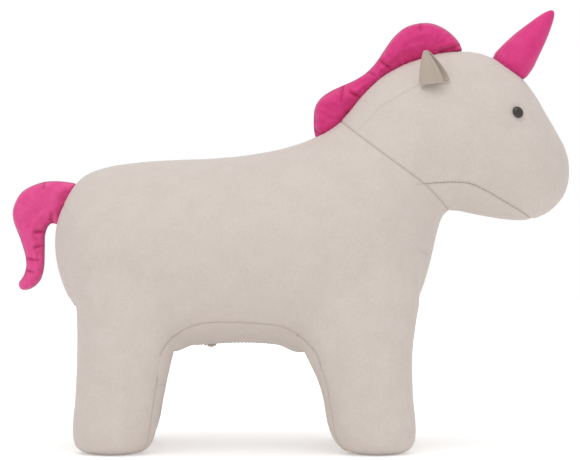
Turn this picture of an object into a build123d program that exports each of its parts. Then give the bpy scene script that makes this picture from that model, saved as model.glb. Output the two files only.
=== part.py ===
# Stuffed unicorn that a small child can sit on: a sewn cover over soft filling, with a sewn-on
# mane, tail, horn and ears, safety eyes, and a zip under the belly.
# Frame: millimetres, +X towards the muzzle, +Y to the animal's left, +Z up, floor at Z = 0.
from build123d import *
from math import radians, sin
import os

os.makedirs("parts", exist_ok=True)

# ---------------------------------------------------------------- driving dimensions
cover_thickness = 3.0  # body fabric with its quilted backing
trim_thickness = 2.0  # fabric of the mane, tail, horn and ears
filling_gap = 0.3  # between a cover and what fills it
sole_thickness = 3.0
board_thickness = 3.0
board_top = sole_thickness + board_thickness
leg_filling_top = 140.0  # just below the belly, so that a leg's filling is a plain column
leg_centre_y = 87.0
reach = 200.0  # half width of the cutting forms, well outside the body

# Trunk sections from rump to muzzle: upper point (x, z), lower point (x, z), half width.
trunk_sections = [
    ((-336, 318), (-336, 292), 20),
    ((-331, 332), (-332, 266), 48),
    ((-320, 356), (-323, 234), 82),
    ((-300, 388), (-305, 200), 112),
    ((-262, 404), (-265, 165), 132),
    ((-200, 412), (-200, 148), 145),
    ((-125, 415), (-125, 149), 150),
    ((-50, 422), (-50, 152), 150),
    ((5, 434), (30, 142), 149),
    ((38, 447), (120, 146), 146),
    ((60, 459), (190, 232), 136),
    ((78, 475), (219, 340), 119),
    ((106, 510), (234, 345), 113),
    ((143, 542), (252, 341), 109),
    ((188, 561), (274, 335), 106),
    ((240, 572), (298, 331), 103),
    ((292, 561), (321, 327), 98),
    ((336, 528), (342, 326), 89),
    ((365, 482), (362, 333), 76),
    ((388, 443), (381, 347), 57),
    ((397, 424), (392, 361), 38),
    ((401, 407), (400, 380), 16),
]

# Leg sections from the sole up into the trunk: height, rear x, front x, half width.
rear_leg_sections = [
    (0, -301, -205, 48),
    (8, -309, -197, 56),
    (30, -311, -190, 59),
    (95, -305, -178, 60),
    (145, -303, -166, 62),
    (200, -304, -150, 60),
    (250, -300, -145, 48),
    (285, -285, -155, 30),
]
front_leg_sections = [
    (0, 77, 171, 48),
    (8, 69, 179, 56),
    (30, 56, 181, 59),
    (95, 43, 175, 60),
    (145, 20, 175, 62),
    (200, 10, 183, 59),
    (250, 20, 184, 45),
    (285, 45, 170, 26),
]

# Seam lines as (x, z) points on the side of the body.
neck_seam = [(58, 482), (75, 469), (145, 418), (192, 383), (218, 355), (238, 330)]
chin_seam = [(180, 384), (244, 386), (274, 376), (298, 362), (331, 342), (352, 326)]
belly_seam = [
    (-178, 100), (-178, 150), (-169, 163), (-130, 179), (-86, 183),
    (-20, 177), (8, 167), (31, 150), (42, 132), (42, 100),
]
leg_panel_top_rear = 206.0
leg_panel_top_front = 190.0

# Mane sections from its rear tip to its front tip: crown (x, z), root (x, z), half thickness.
mane_sections = [
    ((35, 461), (42, 455), 4),
    ((34, 475), (47, 458), 9),
    ((35, 492), (57, 465), 16),
    ((45, 505), (69, 475), 19),
    ((63, 517), (81, 488), 19),
    ((80, 524), (93, 502), 16),
    ((96, 532), (105, 516), 13),
    ((109, 541), (118, 528), 12),
    ((120, 552), (132, 539), 13),
    ((131, 568), (145, 548), 16),
    ((144, 587), (160, 556), 19),
    ((161, 603), (177, 563), 20),
    ((183, 611), (195, 568), 20),
    ((206, 609), (213, 572), 18),
    ((226, 599), (229, 575), 14),
    ((238, 590), (238, 576), 8),
    ((247, 584), (244, 576), 4),
]

# Tail: side outline from the upper end of its root round to the lower end, before its corners
# are rounded, and the slope of its sides from the middle to each face.
tail_outline = [
    (-318, 385.5), (-368, 387), (-401, 362), (-401, 326), (-383, 284), (-380, 262),
    (-396, 240), (-390, 224), (-364, 229), (-354, 252), (-352, 314), (-343, 324.5),
]
tail_half_thickness = 15.0
tail_corner_radius = 12.0
tail_side_slope = 22.0

# Horn: centre of its root on the forehead, direction, and radius at each height.
horn_root = Vector(314, 0, 546)
horn_direction = Vector(0.61, 0, 0.79).normalized()
horn_profile = [(9, 26), (18, 27.5), (30, 26), (46, 22.5), (67, 17), (85, 11.5), (97, 7)]
horn_height = 104.0

# Ear: a fold of cloth with a U-shaped section that opens towards the muzzle.
ear_root = Vector(200, 86, 535)
ear_lean = Vector(-0.17, 0.08, 0.98)
ear_along = Vector(0.97, 0.21, 0.15)
# Height, half length and half depth of the fold.
ear_sections = [(0, 19, 12), (14, 15.5, 10.5), (28, 10, 8), (38, 6, 5.5)]
ear_opening_start = 0.45  # share of the half length where the fold stops

# Safety eye: a domed button on a ridged shank, held by a washer behind the fabric.
eye_centre = Vector(323, 83.3, 485)
eye_outward = Vector(0.445, 0.81, 0.384)
eye_radius = 8.5
eye_rim_height = 1.5
eye_dome_height = 6.0
shank_radius = 2.5
shank_length = 16.0
washer_radius = 9.0
washer_thickness = 2.0
washer_depth = 6.5  # below the eye's rim
washer_fit = 0.02  # between the washer's bore and the shank
shank_clearance = 0.2  # between the shank and the fabric
eye_clearance = 0.3  # round the rim
washer_clearance = 0.5  # round the washer, in the filling

# Zip along the arched belly: its pieces are bent about one axis below the belly.
zip_centre_x = -65.0
zip_arch_radius = 420.0
zip_arch_top = 152.2
zip_half_angle = 8.5
zip_pocket_depth = 4.3
zip_end_margin = 1.5  # between the tape's ends and the belly panel
tape_width = 26.0
tape_slit = 0.2  # between the two halves of the tape
tape_faces = (1.5, 2.5)  # low and high face, counted outwards from the arch radius
coil_width = 5.0
coil_faces = (-1.0, 1.5)
coil_end = zip_half_angle - 1.0
stop_angle = 0.5
stop_width = coil_width + 1
stop_faces = (-1.4, 1.5)
slider_angle = 1.7
slider_width = 8.4
slider_flange_width = 1.3
slider_crown_width = 3.0
slider_faces = (-4.6, -3.4, -1.5, 1.1)  # crown, plate, plate's upper face, top of its flanges

# Seam strips: the edges of the mane and tail that are sewn into the centre seam.
strip_thickness = 3.0
mane_strip = [
    (40, 440), (40, 451), (61, 464), (76, 479), (91, 496), (107, 513), (124, 529), (143, 544),
    (164, 555), (186, 562.5), (220, 571), (243, 575), (243, 560), (150, 520), (80, 450),
]
tail_strip = [(-300, 380), (-314.5, 384.3), (-339.5, 323.3), (-325, 318)]


# ---------------------------------------------------------------- shared forms
def fan_loft(sections, inset):
    # Loft through ellipses that stand across a pair of edge points, all drawn in by inset.
    with BuildPart() as form:
        last = len(sections) - 1
        for number, (upper, lower, half_width) in enumerate(sections):
            top = Vector(upper[0], 0, upper[1])
            bottom = Vector(lower[0], 0, lower[1])
            upright = (top - bottom).normalized()
            forward = Vector(0, 1, 0).cross(upright)
            centre = (top + bottom) * 0.5
            if number == 0:
                centre = centre + forward * inset
            if number == last:
                centre = centre - forward * inset
            height = (top - bottom).length / 2 - inset
            with BuildSketch(Plane(origin=centre, x_dir=upright, z_dir=forward)):
                Ellipse(height, half_width - inset)
        loft()
    return form.part


def leg_loft(sections, side, inset):
    with BuildPart() as form:
        for height, rear, front, half_width in sections:
            origin = ((rear + front) / 2, side * leg_centre_y, height)
            with BuildSketch(Plane(origin=origin)):
                Ellipse((front - rear) / 2 - inset, half_width - inset)
        loft()
    return form.part


def body_form(inset):
    with BuildPart() as form:
        add(fan_loft(trunk_sections, inset))
        for side in (1, -1):
            add(leg_loft(rear_leg_sections, side, inset))
            add(leg_loft(front_leg_sections, side, inset))
    return form.part


def side_prism(points, y_from=-reach, y_to=reach):
    # An outline on the side view, carried across from y_from to y_to.
    with BuildPart() as prism:
        with BuildSketch(Plane.XZ.offset(-y_to)):
            with BuildLine():
                Polyline(*points, close=True)
            make_face()
        extrude(amount=y_to - y_from)
    return prism.part


def slab(z_from, z_to):
    # Side outline of a slab that spans the whole object between two heights.
    return [(-430, z_from), (430, z_from), (430, z_to), (-430, z_to)]


def plan_prism(points, z_from, z_to):
    with BuildPart() as prism:
        with BuildSketch(Plane.XY.offset(z_from)):
            with BuildLine():
                Polyline(*points, close=True)
            make_face()
        extrude(amount=z_to - z_from)
    return prism.part


def cut_out(source, keep, *remove):
    # What source and keep share, less each of the other forms.
    with BuildPart() as piece:
        add(source)
        add(keep, mode=Mode.INTERSECT)
        for form in remove:
            add(form, mode=Mode.SUBTRACT)
    return piece.part


def save(part, name):
    part.label = name
    export_step(part, f"parts/{name}.step")
    print(f"{name}: {len(part.solids())} solid, {part.volume / 1000:.1f} cm3")


# ---------------------------------------------------------------- safety eyes
eye_holes = []
washer_rooms = []
for side, side_name in ((1, "left"), (-1, "right")):
    eye_plane = Plane(
        origin=(eye_centre.X, side * eye_centre.Y, eye_centre.Z),
        z_dir=(eye_outward.X, side * eye_outward.Y, eye_outward.Z),
    )
    with BuildPart() as eye:
        with BuildSketch(eye_plane):
            Circle(eye_radius)
        extrude(amount=eye_rim_height)
        with BuildSketch(eye_plane.offset(eye_rim_height)):
            Circle(eye_radius)
        with BuildSketch(eye_plane.offset(eye_dome_height * 0.7)):
            Circle(eye_radius * 0.75)
        with BuildSketch(eye_plane.offset(eye_dome_height)):
            Circle(eye_radius * 0.25)
        loft()
        with BuildSketch(eye_plane):
            Circle(shank_radius)
        extrude(amount=-shank_length)
    save(eye.part, f"eye_{side_name}")

    with BuildPart() as eye_washer:
        with BuildSketch(eye_plane.offset(-washer_depth - washer_thickness)):
            Circle(washer_radius)
            Circle(shank_radius + washer_fit, mode=Mode.SUBTRACT)
        extrude(amount=washer_thickness)
    save(eye_washer.part, f"eye_washer_{side_name}")

    with BuildPart() as eye_hole:
        with BuildSketch(eye_plane.offset(-washer_depth)):
            Circle(shank_radius + shank_clearance)
        extrude(amount=washer_depth)
        with BuildSketch(eye_plane):
            Circle(eye_radius + eye_clearance)
        extrude(amount=eye_dome_height)
    eye_holes.append(eye_hole.part)

    with BuildPart() as washer_room:
        with BuildSketch(eye_plane.offset(-shank_length - washer_clearance)):
            Circle(washer_radius + washer_clearance)
        extrude(amount=shank_length)
    washer_rooms.append(washer_room.part)


# ---------------------------------------------------------------- belly zip
def zip_bar(width, low, high, start_angle, end_angle, centre_y=0.0):
    # A bar bent to the belly's arch. Angles run along the belly from the zip's middle,
    # and low and high count outwards from the arch radius.
    profile_plane = Plane(origin=(zip_centre_x, 0, zip_arch_top), x_dir=(0, 1, 0), z_dir=(1, 0, 0))
    with BuildPart() as bar:
        with BuildSketch(profile_plane):
            with Locations((centre_y, (low + high) / 2)):
                Rectangle(width, high - low)
        revolve(axis=zip_axis, revolution_arc=end_angle - start_angle)
    return bar.part.rotate(zip_axis, start_angle)


zip_axis = Axis((zip_centre_x, 0, zip_arch_top - zip_arch_radius), (0, 1, 0))
half_width = (tape_width - tape_slit) / 2
for side, side_name in ((1, "left"), (-1, "right")):
    centre = side * (half_width + tape_slit) / 2
    half_tape = zip_bar(half_width, *tape_faces, -zip_half_angle, zip_half_angle, centre)
    save(half_tape, f"zip_tape_{side_name}")
save(zip_bar(coil_width, *coil_faces, -coil_end, coil_end), "zip_coil")
for sign, end_name in ((-1, "rear"), (1, "front")):
    limits = sorted((sign * coil_end, sign * (coil_end + stop_angle)))
    save(zip_bar(stop_width, *stop_faces, *limits), f"zip_stop_{end_name}")

slider_start = 0.1 - coil_end
slider_end = slider_start + slider_angle
crown, plate, plate_top, flange_top = slider_faces
with BuildPart() as zip_slider:
    add(zip_bar(slider_width, plate, plate_top, slider_start, slider_end))
    for side in (1, -1):
        flange_centre = side * (slider_width - slider_flange_width) / 2
        add(zip_bar(slider_flange_width, plate_top, flange_top, slider_start, slider_end, flange_centre))
    add(zip_bar(slider_crown_width, crown, plate, slider_start + 0.5, slider_end - 0.5))
save(zip_slider.part, "zip_slider")

# Room for the zip: an opening in the belly panel, and a shallow pocket in the filling above it.
zip_reach = zip_arch_radius * sin(radians(zip_half_angle)) + zip_end_margin
zip_rear, zip_front = zip_centre_x - zip_reach, zip_centre_x + zip_reach
pocket_top = zip_arch_top + zip_pocket_depth
zip_opening = side_prism(
    [(zip_rear, 100), (zip_front, 100), (zip_front, pocket_top), (zip_rear, pocket_top)],
    -tape_width / 2 - filling_gap,
    tape_width / 2 + filling_gap,
)


# ---------------------------------------------------------------- body cover
outer_form = body_form(0)
lining_form = body_form(cover_thickness)
filling_form = body_form(cover_thickness + filling_gap)
cover = outer_form - lining_form

head_outline = neck_seam + [(260, 300), (430, 300), (430, 640), (58, 640)]
chin_outline = chin_seam + [(360, 280), (180, 280)]
head_zone = side_prism(head_outline)
chin_zone = side_prism(chin_outline)
belly_zone = side_prism(belly_seam)
head_cover = cut_out(cover, head_zone)
trunk_cover = cut_out(cover, side_prism(slab(sole_thickness, 640)), head_zone)
chin_gusset = cut_out(head_cover, chin_zone)
save(chin_gusset, "chin_gusset")

belly_gusset = cut_out(trunk_cover, belly_zone, zip_opening)
save(belly_gusset, "belly_gusset")

# Plan outlines of the inner halves of the legs, cut on a slant from the front to the back.
inner_leg_outlines = {
    "rear": ([(-193, 118), (-150, 118), (-150, 0), (-330, 0), (-330, 36)], leg_panel_top_rear),
    "front": ([(51, 118), (10, 118), (10, 0), (210, 0), (210, 24)], leg_panel_top_front),
}
for side, side_name in ((1, "left"), (-1, "right")):
    low, high = sorted((0.0, side * reach))
    half_zone = side_prism(slab(-5, 640), low, high)
    leg_zones = {}
    for end_name, (outline, top) in inner_leg_outlines.items():
        leg_zones[end_name] = plan_prism([(x, side * y) for x, y in outline], sole_thickness, top)
        inner_leg = cut_out(trunk_cover, leg_zones[end_name], belly_zone)
        save(inner_leg, f"{end_name}_inner_leg_{side_name}")
    save(cut_out(trunk_cover, half_zone, belly_zone, *leg_zones.values()), f"body_side_{side_name}")
    save(cut_out(head_cover, half_zone, chin_zone, *eye_holes), f"head_side_{side_name}")


# ---------------------------------------------------------------- soles, boards and fillings
filling_inset = cover_thickness + filling_gap
sole_zone = side_prism(slab(-5, sole_thickness))
board_zone = side_prism(slab(sole_thickness, board_top))
bottom, top = board_top + filling_gap, leg_filling_top
leg_layouts = {
    "rear": (rear_leg_sections, (-345, -100)),
    "front": (front_leg_sections, (-20, 210)),
}
for side, side_name in ((1, "left"), (-1, "right")):
    low, high = sorted((0.0, side * reach))
    for end_name, (sections, (rear, front)) in leg_layouts.items():
        save(cut_out(leg_loft(sections, side, 0), sole_zone), f"{end_name}_sole_{side_name}")
        sole_board = cut_out(leg_loft(sections, side, filling_inset), board_zone)
        save(sole_board, f"{end_name}_sole_board_{side_name}")
        leg_zone = side_prism([(rear, bottom), (front, bottom), (front, top), (rear, top)], low, high)
        save(cut_out(filling_form, leg_zone), f"{end_name}_leg_filling_{side_name}")

above_legs = side_prism(slab(leg_filling_top, 640))
save(cut_out(filling_form, above_legs, head_zone, zip_opening), "torso_filling")
save(cut_out(filling_form, head_zone, *eye_holes, *washer_rooms), "head_filling")


# ---------------------------------------------------------------- mane and tail
def mane_form(inset):
    return fan_loft(mane_sections, inset)


def tail_form(inset):
    with BuildPart() as form:
        with BuildSketch(Plane.XZ) as outline:
            with BuildLine():
                Polyline(*tail_outline, close=True)
            make_face()
            root_x = tail_outline[-1][0]
            fillet([corner for corner in outline.vertices() if corner.X < root_x - 1], tail_corner_radius)
            if inset > 0:
                offset(amount=-inset, kind=Kind.INTERSECTION)
        extrude(amount=tail_half_thickness - inset, both=True, taper=tail_side_slope)
    return form.part


left_zone = side_prism(slab(0, 700), 0, reach)
right_zone = side_prism(slab(0, 700), -reach, 0)
for name, trim_form, strip_outline in (("mane", mane_form, mane_strip), ("tail", tail_form, tail_strip)):
    shell = trim_form(0) - trim_form(trim_thickness)
    save(cut_out(shell, left_zone), f"{name}_panel_left")
    save(cut_out(shell, right_zone), f"{name}_panel_right")
    save(trim_form(trim_thickness + filling_gap), f"{name}_filling")
    strip = side_prism(strip_outline, -strip_thickness / 2, strip_thickness / 2)
    save(strip - outer_form, f"{name}_seam_strip")


# ---------------------------------------------------------------- horn
def horn_form(inset, closed_below):
    # A rounded cone turned about the horn's direction, drawn in by inset.
    profile_plane = Plane(origin=horn_root, x_dir=horn_direction, z_dir=(0, 1, 0))
    first_height = horn_profile[0][0] + (inset if closed_below else 0)
    with BuildPart() as form:
        with BuildSketch(profile_plane):
            with BuildLine():
                points = [(height, radius - inset) for height, radius in horn_profile]
                points[0] = (first_height, points[0][1])
                Spline(*points, (horn_height - inset, 0))
                Polyline((horn_height - inset, 0), (first_height, 0), points[0])
            make_face()
        revolve(axis=Axis(horn_root, horn_direction))
    return form.part


save(horn_form(0, False) - horn_form(trim_thickness, False), "horn_cover")
save(horn_form(trim_thickness + filling_gap, True), "horn_filling")


# ---------------------------------------------------------------- ears
def ear_form(side, inset, sections):
    # A folded sheet: a U-shaped band that narrows towards the tip.
    with BuildPart() as form:
        ear_plane = Plane(
            origin=(ear_root.X, side * ear_root.Y, ear_root.Z),
            x_dir=(ear_along.X, side * ear_along.Y, ear_along.Z),
            z_dir=(ear_lean.X, side * ear_lean.Y, ear_lean.Z),
        )
        for height, half_length, half_depth in sections:
            with BuildSketch(ear_plane.offset(height)):
                Ellipse(half_length - inset, half_depth - inset)
                inner_length = half_length - inset - trim_thickness
                inner_depth = half_depth - inset - trim_thickness
                Ellipse(inner_length, inner_depth, mode=Mode.SUBTRACT)
                with Locations((half_length * (ear_opening_start + 1), 0)):
                    Rectangle(half_length * 2, half_depth * 4, mode=Mode.SUBTRACT)
        loft()
    return form.part


for side, side_name in ((1, "left"), (-1, "right")):
    save(ear_form(side, 0, ear_sections), f"ear_outer_{side_name}")
    save(ear_form(side, trim_thickness, ear_sections[:-1]), f"ear_lining_{side_name}")
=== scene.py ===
import math

import bmesh
import bpy
import numpy as np
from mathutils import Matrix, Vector, geometry
from mathutils.bvhtree import BVHTree


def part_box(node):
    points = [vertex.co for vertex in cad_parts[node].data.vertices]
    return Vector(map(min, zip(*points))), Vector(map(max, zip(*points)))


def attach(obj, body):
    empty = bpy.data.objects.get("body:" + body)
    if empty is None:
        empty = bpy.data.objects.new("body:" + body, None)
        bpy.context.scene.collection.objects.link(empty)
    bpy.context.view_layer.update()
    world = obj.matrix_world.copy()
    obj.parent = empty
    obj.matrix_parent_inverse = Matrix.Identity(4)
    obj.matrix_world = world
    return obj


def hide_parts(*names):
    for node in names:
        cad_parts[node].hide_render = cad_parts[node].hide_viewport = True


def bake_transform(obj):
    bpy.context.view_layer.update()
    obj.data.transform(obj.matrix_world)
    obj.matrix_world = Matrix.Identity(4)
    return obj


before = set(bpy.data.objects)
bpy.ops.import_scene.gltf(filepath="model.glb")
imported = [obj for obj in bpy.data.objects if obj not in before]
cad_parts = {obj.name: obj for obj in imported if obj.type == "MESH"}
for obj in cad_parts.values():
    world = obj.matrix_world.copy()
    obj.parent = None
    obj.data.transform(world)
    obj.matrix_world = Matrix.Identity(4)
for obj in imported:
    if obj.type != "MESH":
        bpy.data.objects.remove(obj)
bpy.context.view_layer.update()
scene = bpy.context.scene
print("frame loaded")


# ---- camera and lights
view = {"distance": 6.2, "aim": (0.0, 0.0, 0.3135), "widthSeen": 0.835, "elevationDeg": 3.0}
lights = {
    "top": {"place": (-0.3, -0.9, 3.2), "size": 2.6, "power": 30},
    "front": {"place": (-1.6, -4.2, 1.5), "size": 3.0, "power": 13},
    "side": {"place": (3.0, -2.6, 1.4), "size": 2.6, "power": 7},
    "back": {"place": (0.4, 3.6, 2.2), "size": 3.0, "power": 12},
}
skyLight = 0.70
lightTarget = (0, 0, 0.3)


def aimed(obj, target):
    obj.rotation_euler = (Vector(target) - obj.location).to_track_quat("-Z", "Y").to_euler()


def makeCamera():
    data = bpy.data.cameras.new("camera")
    data.lens = data.sensor_width * view["distance"] / view["widthSeen"]
    data.clip_end = 60
    obj = bpy.data.objects.new("camera", data)
    scene.collection.objects.link(obj)
    rise = math.radians(view["elevationDeg"])
    away = Vector((0, -math.cos(rise), math.sin(rise))) * view["distance"]
    obj.location = Vector(view["aim"]) + away
    aimed(obj, view["aim"])
    scene.camera = obj


def makeLights():
    for name, spec in lights.items():
        data = bpy.data.lights.new(name, "AREA")
        data.size = spec["size"]
        data.energy = spec["power"]
        obj = bpy.data.objects.new(name, data)
        obj.location = spec["place"]
        scene.collection.objects.link(obj)
        aimed(obj, lightTarget)
    world = bpy.data.worlds.new("studio")
    world.use_nodes = True
    tree = world.node_tree
    sky = tree.nodes["Background"]
    sky.inputs["Color"].default_value = (1.0, 1.0, 1.0, 1)
    seen = tree.nodes.new("ShaderNodeMapRange")  # the backdrop is white, and the light from it softer
    seen.inputs["To Min"].default_value = skyLight
    tree.links.new(tree.nodes.new("ShaderNodeLightPath").outputs["Is Camera Ray"], seen.inputs["Value"])
    tree.links.new(seen.outputs["Result"], sky.inputs["Strength"])
    scene.world = world
    scene.view_settings.view_transform = "Standard"


makeCamera()
makeLights()


# ---- shader maths
class Signal:
    # wraps an output socket, so that sums and products read as written
    def __init__(self, graph, socket):
        self.graph = graph
        self.socket = socket

    def math(self, operation, *values):
        node = self.graph.node("ShaderNodeMath", {"operation": operation}, dict(enumerate((self, *values))))
        return Signal(self.graph, node.outputs[0])

    def __add__(self, other):
        return self.math("ADD", other)

    __radd__ = __add__

    def __mul__(self, other):
        return self.math("MULTIPLY", other)

    def __sub__(self, other):
        return self.math("SUBTRACT", other)

    def __rsub__(self, other):
        return (self * -1.0) + other

    def within(self, low, high):
        return ((self - low) * (1.0 / (high - low))).math("MAXIMUM", 0.0).math("MINIMUM", 1.0)


class Graph:
    def __init__(self, name):
        self.material = bpy.data.materials.new(name)
        self.material.use_nodes = True
        self.tree = self.material.node_tree
        self.shader = self.tree.nodes["Principled BSDF"]

    def node(self, kind, settings=None, values=None):
        made = self.tree.nodes.new(kind)
        for key, value in (settings or {}).items():
            setattr(made, key, value)
        for key, value in (values or {}).items():
            self.feed(made.inputs[key], value)
        return made

    def feed(self, socket, value):
        if isinstance(value, Signal):
            self.tree.links.new(value.socket, socket)
        else:
            socket.default_value = value

    def place(self):
        return Signal(self, self.node("ShaderNodeTexCoord").outputs["Object"])

    def attribute(self, name):
        made = self.node("ShaderNodeAttribute", {"attribute_name": name})
        return Signal(self, made.outputs["Fac"])

    def noise(self, place, scale, detail=2.0, roughness=0.5):
        values = {"Vector": place, "Scale": scale, "Detail": detail, "Roughness": roughness}
        return Signal(self, self.node("ShaderNodeTexNoise", None, values).outputs[0])

    def blend(self, amount, first, second):
        made = self.node("ShaderNodeMix", {"data_type": "RGBA"})
        self.feed(made.inputs[0], amount)
        self.feed(made.inputs[6], first)
        self.feed(made.inputs[7], second)
        return Signal(self, made.outputs[2])

    def bump(self, height, strength, distance):
        values = {"Height": height, "Strength": strength, "Distance": distance}
        return Signal(self, self.node("ShaderNodeBump", None, values).outputs[0])

    def finish(self, **inputs):
        for key, value in inputs.items():
            self.feed(self.shader.inputs[key.replace("_", " ")], value)
        return self.material


def shade(red, green, blue):
    # a paint colour given in display values from 0 to 255
    return tuple(((c / 255 + 0.055) / 1.055) ** 2.4 for c in (red, green, blue)) + (1.0,)


def shadeOfGrey(level):
    return (level, level, level, 1.0)


def creamCloth(name, dark, light):
    cloth = Graph(name)
    place = cloth.place()
    nap = cloth.noise(place, 34.0, 3.0, 0.6)
    fleck = cloth.noise(place, 420.0, 2.0, 0.7)
    weave = cloth.noise(place, 1500.0, 2.0, 0.6)
    mottle = (nap * 0.35 + fleck * 0.65).within(0.30, 0.70)
    colour = cloth.blend(mottle, dark, light)
    # painted shade: the colour darkens towards shade(150, 132, 118) along seams and darts, by the seamShade
    # attribute
    colour = cloth.blend(cloth.attribute("seamShade") * 0.32, colour, shade(150, 132, 118))
    grain = fleck * 0.7 + weave * 0.5 + nap * 0.4
    return cloth.finish(
        Base_Color=colour,
        Roughness=0.92 - mottle * 0.08,
        Normal=cloth.bump(grain, 0.35, 0.0006),
        Sheen_Weight=0.25,
        Sheen_Roughness=0.45,
        Specular_IOR_Level=0.25,
    )


def pinkVelour(name, dark, light):
    velour = Graph(name)
    place = velour.place()
    nap = velour.noise(place, 60.0, 3.0, 0.6)
    pile = velour.noise(place, 900.0, 2.0, 0.7)
    lie = (nap * 0.5 + pile * 0.5).within(0.26, 0.76)
    colour = velour.blend(lie, dark, light)
    # painted shade: the colour darkens towards shade(150, 22, 82) along seams, in creases and at the horn's
    # base, by the seamShade attribute
    colour = velour.blend(velour.attribute("seamShade") * 0.55, colour, shade(150, 22, 82))
    return velour.finish(
        Base_Color=colour,
        Roughness=0.78 - lie * 0.12,
        Normal=velour.bump(pile + nap * 0.4, 0.3, 0.0005),
        Sheen_Weight=0.35,
        Sheen_Roughness=0.4,
        Specular_IOR_Level=0.3,
    )


def eyeSatin():
    eye = Graph("eyeSatin")
    cloud = eye.noise(eye.place(), 260.0, 2.0)
    colour = eye.blend(cloud, shade(30, 24, 21), shade(48, 40, 36))
    return eye.finish(Base_Color=colour, Roughness=0.3 + cloud * 0.1, Coat_Weight=0.3)


def plainNylon(name, dark, light, roughness):
    nylon = Graph(name)
    cloud = nylon.noise(nylon.place(), 700.0, 2.0)
    colour = nylon.blend(cloud, dark, light)
    height = nylon.noise(nylon.place(), 2200.0)
    return nylon.finish(
        Base_Color=colour, Roughness=roughness - cloud * 0.1, Normal=nylon.bump(height, 0.2, 0.0002)
    )


finishes = {
    "creamCloth": creamCloth("creamCloth", shade(205, 193, 184), shade(217, 207, 200)),
    # the ears' cloth is the cream cloth in darker colours: painted shade on the ears
    "earClothShaded": creamCloth("earClothShaded", shade(178, 163, 149), shade(192, 178, 165)),
    "pinkVelour": pinkVelour("pinkVelour", shade(208, 40, 116), shade(230, 70, 142)),
    # the tail's velour is the pink velour in lighter colours: painted light on the tail
    "tailVelour": pinkVelour("tailVelour", shade(222, 64, 134), shade(238, 92, 158)),
    "eyeSatin": eyeSatin(),
    "tapeWeave": plainNylon("tapeWeave", shade(196, 184, 172), shade(214, 204, 193), 0.85),
    "coilNylon": plainNylon("coilNylon", shade(182, 170, 158), shade(200, 190, 178), 0.5),
    "threadCotton": plainNylon("threadCotton", shade(146, 130, 116), shade(170, 155, 141), 0.75),
    "washerNylon": plainNylon("washerNylon", shade(225, 225, 220), shade(238, 238, 234), 0.5),
    "fibreFill": plainNylon("fibreFill", shade(236, 234, 230), shade(248, 247, 244), 0.95),
}
print("materials made")


# ---- mesh helpers
def objectFrom(name, mesh):
    obj = bpy.data.objects.new(name, mesh)
    scene.collection.objects.link(obj)
    return obj


def objectFromBmesh(name, bm):
    mesh = bpy.data.meshes.new(name)
    bm.to_mesh(mesh)
    bm.free()
    return objectFrom(name, mesh)


def joinedCopy(name, nodes):
    # one mesh from several CAD nodes, with its loose triangles merged
    bm = bmesh.new()
    for node in nodes:
        bm.from_mesh(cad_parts[node].data)
    bmesh.ops.remove_doubles(bm, verts=bm.verts, dist=1e-6)
    return objectFromBmesh(name, bm)


def settle(obj):
    # the modifiers' result becomes the mesh itself
    depsgraph = bpy.context.evaluated_depsgraph_get()
    mesh = bpy.data.meshes.new_from_object(obj.evaluated_get(depsgraph))
    obj.modifiers.clear()
    obj.data = mesh
    mesh.name = obj.name


def remesh(obj, voxel):
    modifier = obj.modifiers.new("remesh", "REMESH")
    modifier.mode = "VOXEL"
    modifier.voxel_size = voxel
    settle(obj)


def subdivide(obj):
    modifier = obj.modifiers.new("smoother", "SUBSURF")
    modifier.levels = 1
    modifier.render_levels = 1
    settle(obj)


def positions(obj):
    co = np.empty(len(obj.data.vertices) * 3)
    obj.data.vertices.foreach_get("co", co)
    return co.reshape(-1, 3)


def directions(obj):
    normals = np.empty(len(obj.data.vertices) * 3)
    obj.data.vertex_normals.foreach_get("vector", normals)
    return normals.reshape(-1, 3)


def place(obj, co):
    obj.data.vertices.foreach_set("co", co.ravel())
    obj.data.update()


def relax(obj, rounds, factor=0.5, weight=1.0):
    # each vertex moves towards the mean of its neighbours
    edges = np.empty(len(obj.data.edges) * 2, int)
    obj.data.edges.foreach_get("vertices", edges)
    first, second = edges.reshape(-1, 2).T
    co = positions(obj)
    count = np.bincount(first, minlength=len(co)) + np.bincount(second, minlength=len(co))
    for _ in range(rounds):
        total = np.zeros_like(co)
        np.add.at(total, first, co[second])
        np.add.at(total, second, co[first])
        co += (total / count[:, None] - co) * factor * np.broadcast_to(weight, len(co))[:, None]
    place(obj, co)


def inflate(obj, pressure, cap, pinned, frames=20, stiffness=15.0, bending=0.5, shrink=0.0):
    # a short cloth run under inner pressure; pinned is each vertex's hold from 0 to 1
    start = positions(obj)
    group = obj.vertex_groups.new(name="hold")
    for level in range(1, 11):
        members = np.nonzero(np.round(pinned * 10).astype(int) == level)[0]
        group.add(members.tolist(), level / 10, "REPLACE")
    cloth = obj.modifiers.new("cloth", "CLOTH")
    cloth.settings.quality = 5
    cloth.settings.mass = 0.2
    cloth.settings.tension_stiffness = stiffness
    cloth.settings.compression_stiffness = stiffness
    cloth.settings.bending_stiffness = bending
    cloth.settings.shrink_min = shrink
    cloth.settings.use_pressure = True
    cloth.settings.uniform_pressure_force = pressure
    cloth.settings.vertex_group_mass = "hold"
    cloth.settings.effector_weights.gravity = 0.0
    cloth.point_cache.frame_start = 1
    cloth.point_cache.frame_end = frames
    for number in range(1, frames + 1):
        scene.frame_set(number)
    settle(obj)
    obj.vertex_groups.clear()
    moved = positions(obj) - start
    length = np.linalg.norm(moved, axis=1, keepdims=True)
    place(obj, start + moved * np.minimum(1.0, cap / np.maximum(length, 1e-9)))
    scene.frame_set(1)


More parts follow.
